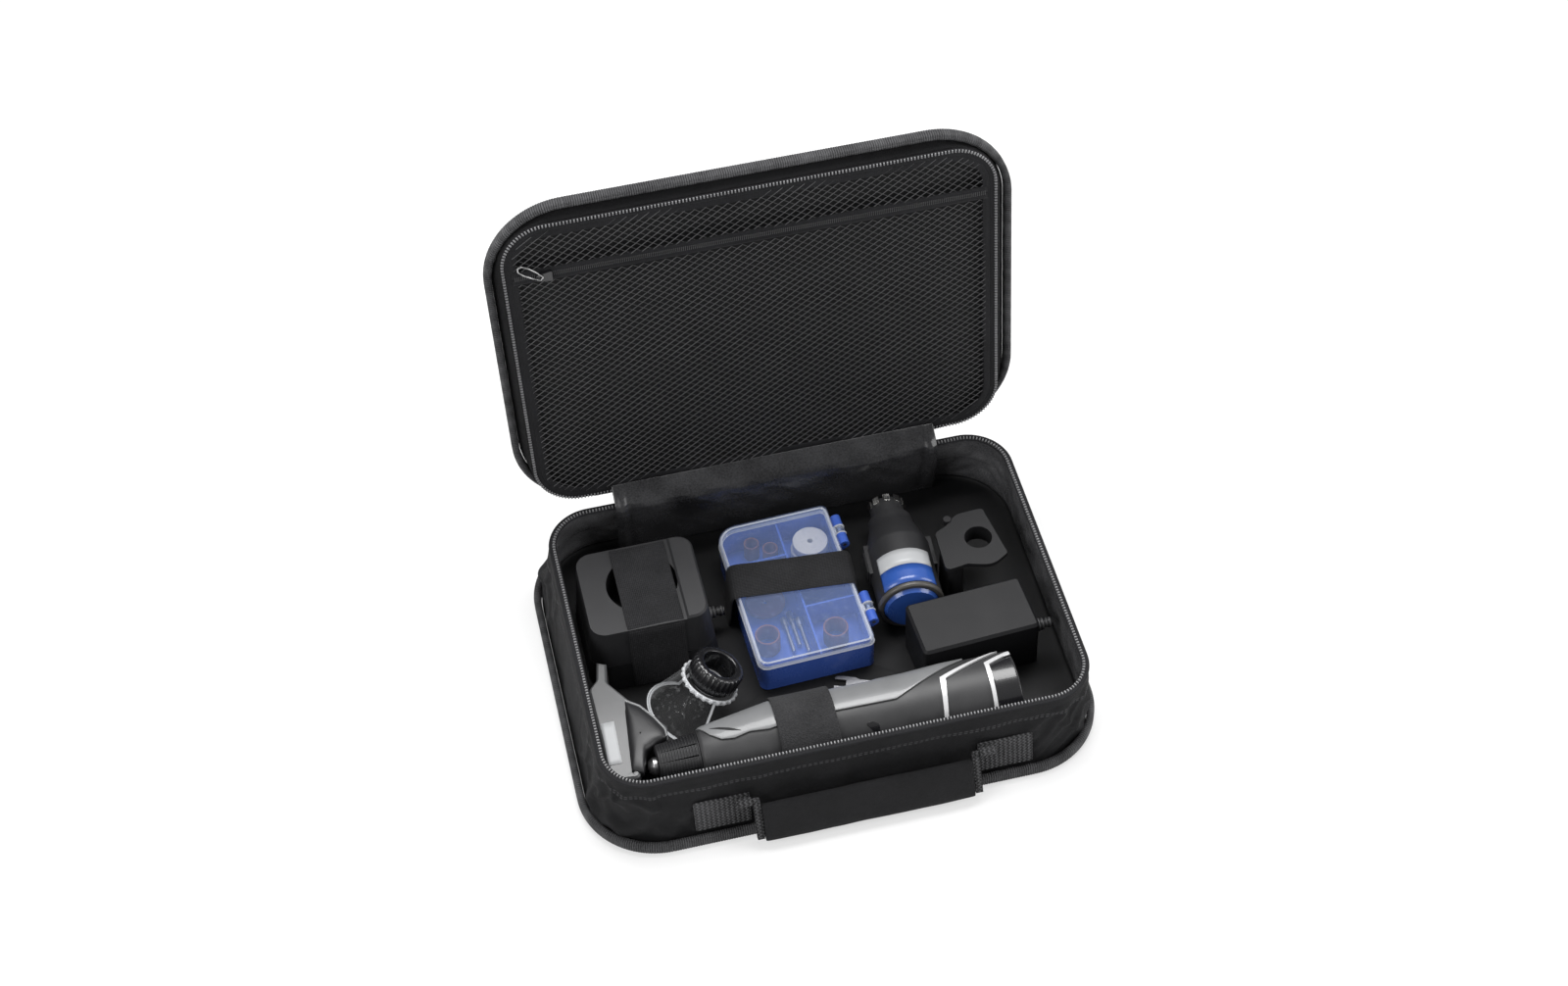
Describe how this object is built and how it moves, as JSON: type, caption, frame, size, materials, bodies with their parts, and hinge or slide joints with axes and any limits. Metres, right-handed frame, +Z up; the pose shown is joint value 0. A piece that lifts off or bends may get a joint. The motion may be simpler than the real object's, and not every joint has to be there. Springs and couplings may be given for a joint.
{
  "type": "cordless rotary tool kit in a zip case",
  "caption": "Cordless rotary tool with battery, charger, mains adapter, accessory box, guard, platform and grip, strapped in an open fabric zip case with a net pocket in its lid.",
  "frame": {"origin": "on the case's underside, midway along the lid's hinge and 106.4 mm in front of it", "axes": "+X to the right along the hinge, +Y to the back, towards the hinge, +Z up"},
  "size_m": [0.314, 0.2732, 0.2747],
  "materials": {
    "case_fabric": "coarse woven",
    "binding": "ribbed tape",
    "liner_satin": "satin",
    "zip": "tape with teeth",
    "webbing": "woven webbing",
    "elastic_black": "elastic",
    "elastic_grey": "worn hook and loop",
    "net": "net",
    "wire": "bright",
    "steel": "brushed",
    "spring_metal": "bright",
    "black_plastic": "fine texture",
    "dark_rubber": "matte",
    "light_plastic": "satin",
    "silver_trim": "metallic",
    "blue_plastic": "gloss",
    "clear_plastic": "clear",
    "ring_plastic": "matte",
    "felt": "felt",
    "abrasive": "gritty",
    "board_green": "board",
    "motor_steel": "drawn",
    "stiff_board": "covered board"
  },
  "bodies": {
    "case_base": {"base_board": "stiff_board", "base_binding": "binding", "base_wall": "case_fabric", "base_liner": "liner_satin", "base_zip_tape": "zip", "handle_tabs": "webbing", "hinge_gusset": "liner_satin", "charger_strap": "elastic_black", "box_strap": "elastic_black", "tool_strap": "elastic_grey"},
    "carrying_handle": {"handle_strap": "webbing", "handle_grip": "case_fabric"},
    "lid": {"lid_panel": "stiff_board", "lid_binding": "binding", "lid_wall": "case_fabric", "lid_zip_tape": "zip", "lid_mesh": "net", "pocket_zip_tape": "zip"},
    "pocket_slider": {"pocket_slider": "black_plastic"},
    "pocket_puller": {"pocket_puller": "wire"},
    "charger": {"charger_base": "black_plastic", "charger_cover": "black_plastic", "charger_contacts": "spring_metal", "charger_cord_relief": "dark_rubber"},
    "adapter": {"adapter_base": "black_plastic", "adapter_cover": "black_plastic", "adapter_cord_relief": "dark_rubber"},
    "accessory_box": {"box_tray": "blue_plastic", "box_hinge_pins": "steel", "sanding_bands": "abrasive", "felt_wheels": "felt", "cutting_discs": "abrasive", "mandrels": "steel"},
    "box_lid": {"box_lid": "clear_plastic"},
    "battery": {"battery_case": "black_plastic", "battery_ring": "ring_plastic", "battery_end_cap": "blue_plastic", "battery_contacts": "spring_metal"},
    "release_button_left": {"release_button_left": "dark_rubber"},
    "release_button_right": {"release_button_right": "dark_rubber"},
    "platform": {"shaping_platform": "black_plastic"},
    "guard": {"guard_shield": "clear_plastic"},
    "guard_ring": {"guard_ring": "black_plastic"},
    "detail_grip": {"grip_shell": "light_plastic", "grip_pad": "dark_rubber"},
    "rotary_tool": {"tool_upper_shell": "dark_rubber", "tool_lower_shell": "dark_rubber", "tool_side_panel": "light_plastic", "tool_trim": "silver_trim", "motor": "motor_steel", "bearings": "steel", "circuit_board": "board_green"},
    "spindle": {"spindle": "steel", "cooling_fan": "black_plastic", "collet": "steel", "collet_nut": "steel"},
    "nose_cap": {"nose_cap": "black_plastic"},
    "power_switch": {"power_switch": "black_plastic"},
    "lock_button": {"lock_button": "black_plastic"},
    "collet_wrench": {"collet_wrench": "steel"}
  },
  "joints": [
    {"name": "lid_hinge", "type": "hinge", "parent": "case_base", "child": "lid", "pos_m": [0, 0.1064, 0.053], "axis": [-1, 0, 0], "range_deg": [-96.2, 83.8], "deforming": ["hinge_gusset"]},
    {"name": "pocket_slide", "type": "slide", "parent": "lid", "child": "pocket_slider", "axis": [1, 0, 0], "range_m": [0, 0.244]},
    {"name": "puller_hinge", "type": "hinge", "parent": "pocket_slider", "child": "pocket_puller", "pos_m": [-0.1226, 0.12314, 0.23113], "axis": [0, 0.108, 0.9942], "range_deg": [0, 150]},
    {"name": "handle_hinge", "type": "hinge", "parent": "case_base", "child": "carrying_handle", "pos_m": [0.003, -0.11678, 0.031], "axis": [-1, 0, 0], "range_deg": [0, 120]},
    {"name": "charger_lift", "type": "slide", "parent": "case_base", "child": "charger", "axis": [0, 0, 1], "range_m": [0, 0.12], "deforming": ["charger_strap"]},
    {"name": "adapter_lift", "type": "slide", "parent": "case_base", "child": "adapter", "axis": [0, 0, 1], "range_m": [0, 0.12]},
    {"name": "box_lift", "type": "slide", "parent": "case_base", "child": "accessory_box", "axis": [0, 0, 1], "range_m": [0, 0.12], "deforming": ["box_strap"]},
    {"name": "box_lid_hinge", "type": "hinge", "parent": "accessory_box", "child": "box_lid", "pos_m": [0.03447, 0.033, 0.0256], "axis": [-0.0384, 0.9993, 0], "range_deg": [0, 95], "deforming": ["box_strap"]},
    {"name": "battery_lift", "type": "slide", "parent": "case_base", "child": "battery", "axis": [0, 0, 1], "range_m": [0, 0.12]},
    {"name": "button_left_press", "type": "slide", "parent": "battery", "child": "release_button_left", "axis": [0.9984, -0.0558, 0], "range_m": [0, 0.0015], "stiffness_N_per_m": 600},
    {"name": "button_right_press", "type": "slide", "parent": "battery", "child": "release_button_right", "axis": [-0.9984, 0.0558, 0], "range_m": [0, 0.0015], "stiffness_N_per_m": 600},
    {"name": "platform_lift", "type": "slide", "parent": "case_base", "child": "platform", "axis": [0, 0, 1], "range_m": [0, 0.12]},
    {"name": "guard_lift", "type": "slide", "parent": "case_base", "child": "guard", "axis": [0, 0, 1], "range_m": [0, 0.12]},
    {"name": "guard_ring_turn", "type": "hinge", "parent": "guard", "child": "guard_ring", "pos_m": [-0.069, -0.0295, 0.0326], "axis": [0.5056, 0.098, 0.8572], "continuous": true},
    {"name": "grip_lift", "type": "slide", "parent": "case_base", "child": "detail_grip", "axis": [0, 0, 1], "range_m": [0, 0.12]},
    {"name": "tool_lift", "type": "slide", "parent": "case_base", "child": "rotary_tool", "axis": [0, 0, 1], "range_m": [0, 0.12], "deforming": ["tool_strap"]},
    {"name": "spindle_spin", "type": "hinge", "parent": "rotary_tool", "child": "spindle", "pos_m": [-0.111, -0.078, 0.0281], "axis": [1, 0, 0], "continuous": true},
    {"name": "nose_cap_turn", "type": "hinge", "parent": "rotary_tool", "child": "nose_cap", "pos_m": [-0.111, -0.078, 0.0281], "axis": [1, 0, 0], "continuous": true},
    {"name": "power_switch_slide", "type": "slide", "parent": "rotary_tool", "child": "power_switch", "axis": [1, 0, 0], "range_m": [0, 0.008]},
    {"name": "lock_button_press", "type": "slide", "parent": "rotary_tool", "child": "lock_button", "axis": [0, -1, 0], "range_m": [0, 0.002], "stiffness_N_per_m": 400},
    {"name": "wrench_lift", "type": "slide", "parent": "case_base", "child": "collet_wrench", "axis": [0, 0, 1], "range_m": [0, 0.12]}
  ]
}
